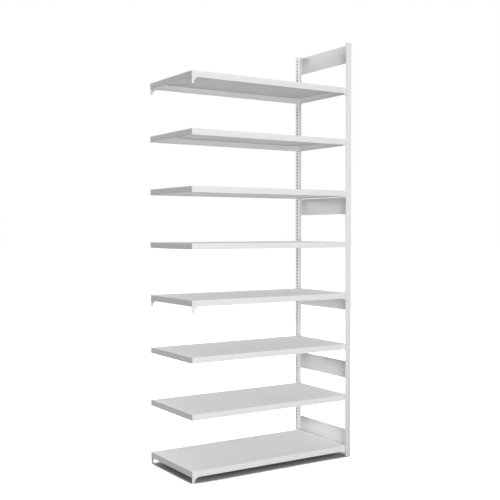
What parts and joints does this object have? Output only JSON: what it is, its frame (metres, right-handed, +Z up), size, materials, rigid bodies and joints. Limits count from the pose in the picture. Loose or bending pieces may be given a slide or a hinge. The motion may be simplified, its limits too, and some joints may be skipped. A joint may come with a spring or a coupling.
{
  "type": "library shelving bay",
  "caption": "Add-on bay of double sided steel library shelving: open tray shelves on hook-in clips and corner brackets, carried at one end by a slotted frame with cross plates.",
  "frame": {"origin": "on the floor, under the middle of the whole bay's bounding box", "axes": "+X along the shelves towards the end frame, +Y from the front face to the back face, +Z up"},
  "size_m": [1.058, 0.5078, 2.425],
  "materials": {
    "coated_steel": "satin powder coat",
    "zinc_steel": "bright zinc plate",
    "cap_plastic": "fine matt moulding",
    "foot_plastic": "matt moulding"
  },
  "bodies": {
    "bay": {"upright_front": "coated_steel", "top_cap_front": "cap_plastic", "foot_plug_front": "foot_plastic", "upright_back": "coated_steel", "top_cap_back": "cap_plastic", "foot_plug_back": "foot_plastic", "cross_plate_1": "coated_steel", "cross_plate_2": "coated_steel", "cross_plate_3": "coated_steel", "cross_plate_4": "coated_steel", "cross_plate_5": "coated_steel", "shelf_1": "coated_steel", "bracket_1_front_left": "coated_steel", "bracket_1_front_right": "coated_steel", "bracket_1_back_left": "coated_steel", "bracket_1_back_right": "coated_steel", "clip_2_front": "zinc_steel", "clip_2_back": "zinc_steel", "clip_3_front": "zinc_steel", "clip_3_back": "zinc_steel", "clip_4_front": "zinc_steel", "clip_4_back": "zinc_steel", "shelf_5": "coated_steel", "bracket_5_front_left": "coated_steel", "bracket_5_front_right": "coated_steel", "bracket_5_back_left": "coated_steel", "bracket_5_back_right": "coated_steel", "clip_6_front": "zinc_steel", "clip_6_back": "zinc_steel", "clip_7_front": "zinc_steel", "clip_7_back": "zinc_steel", "shelf_8": "coated_steel", "bracket_8_front_left": "coated_steel", "bracket_8_front_right": "coated_steel", "bracket_8_back_left": "coated_steel", "bracket_8_back_right": "coated_steel"},
    "loose_shelf_2": {"shelf_2": "coated_steel"},
    "loose_shelf_3": {"shelf_3": "coated_steel"},
    "loose_shelf_4": {"shelf_4": "coated_steel"},
    "loose_shelf_6": {"shelf_6": "coated_steel"},
    "loose_shelf_7": {"shelf_7": "coated_steel"}
  },
  "joints": [
    {"name": "shelf_2_lift", "type": "slide", "parent": "bay", "child": "loose_shelf_2", "axis": [0, 0, 1], "range_m": [0, 0.035]},
    {"name": "shelf_3_lift", "type": "slide", "parent": "bay", "child": "loose_shelf_3", "axis": [0, 0, 1], "range_m": [0, 0.035]},
    {"name": "shelf_4_lift", "type": "slide", "parent": "bay", "child": "loose_shelf_4", "axis": [0, 0, 1], "range_m": [0, 0.035]},
    {"name": "shelf_6_lift", "type": "slide", "parent": "bay", "child": "loose_shelf_6", "axis": [0, 0, 1], "range_m": [0, 0.035]},
    {"name": "shelf_7_lift", "type": "slide", "parent": "bay", "child": "loose_shelf_7", "axis": [0, 0, 1], "range_m": [0, 0.035]}
  ]
}
